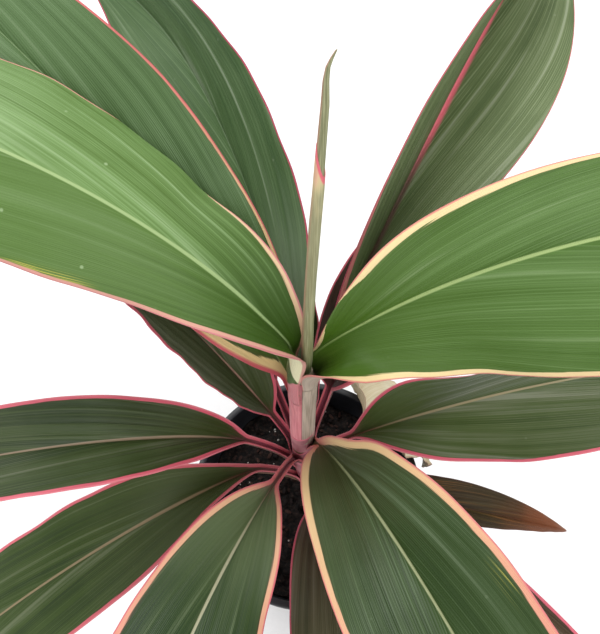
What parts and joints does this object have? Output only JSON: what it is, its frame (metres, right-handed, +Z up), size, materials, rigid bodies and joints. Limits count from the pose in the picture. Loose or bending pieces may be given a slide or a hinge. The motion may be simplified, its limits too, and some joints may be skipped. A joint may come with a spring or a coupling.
{
  "type": "potted ti plant",
  "caption": "Young ti plant with long pink-edged leaves arching from one leaning stem, rooted in soil in a round tapered nursery pot; stands on its flat base.",
  "frame": {"origin": "centre of the flat base on which the pot stands", "axes": "+Z up along the pot's axis; +X to the right and +Y away from the viewer of the picture, whose camera looks down from -Y"},
  "size_m": [0.553, 0.4996, 0.4906],
  "materials": {
    "green_leaf": "satin living leaf, bright green with cream and pink margins",
    "dark_leaf": "satin living leaf, dark green with pink margins",
    "maroon_leaf": "satin living leaf, maroon green with thin pink margins",
    "drying_leaf": "dull drying leaf, brown with an orange tip",
    "withered_leaf": "dull withered leaf, straw coloured",
    "rolled_leaf": "satin rolled leaf, olive with a cream and pink edge",
    "stem_sheaths": "satin fibrous stem, pink and grey-beige leaf bases",
    "potting_soil": "matte crumbly dark soil",
    "pot_plastic": "matte black moulded plastic"
  },
  "bodies": {
    "root": {"leaf_upper_left": "green_leaf", "leaf_upper_right": "green_leaf", "leaf_upper_back_left": "dark_leaf", "leaf_upper_back": "dark_leaf", "leaf_upper_back_right": "dark_leaf", "leaf_collared_front": "dark_leaf", "leaf_middle_right": "maroon_leaf", "leaf_lower_front": "dark_leaf", "leaf_middle_left": "maroon_leaf", "leaf_lower_right": "dark_leaf", "leaf_lower_left": "dark_leaf", "leaf_middle_back_left": "maroon_leaf", "leaf_middle_back": "maroon_leaf", "leaf_lower_front_left": "dark_leaf", "leaf_bottom_right": "maroon_leaf", "leaf_bottom_front": "maroon_leaf", "leaf_withered_back": "withered_leaf", "leaf_drying_right": "drying_leaf", "new_leaf_spear": "rolled_leaf", "stem": "stem_sheaths", "potting_soil": "potting_soil", "nursery_pot": "pot_plastic"}
  },
  "joints": []
}
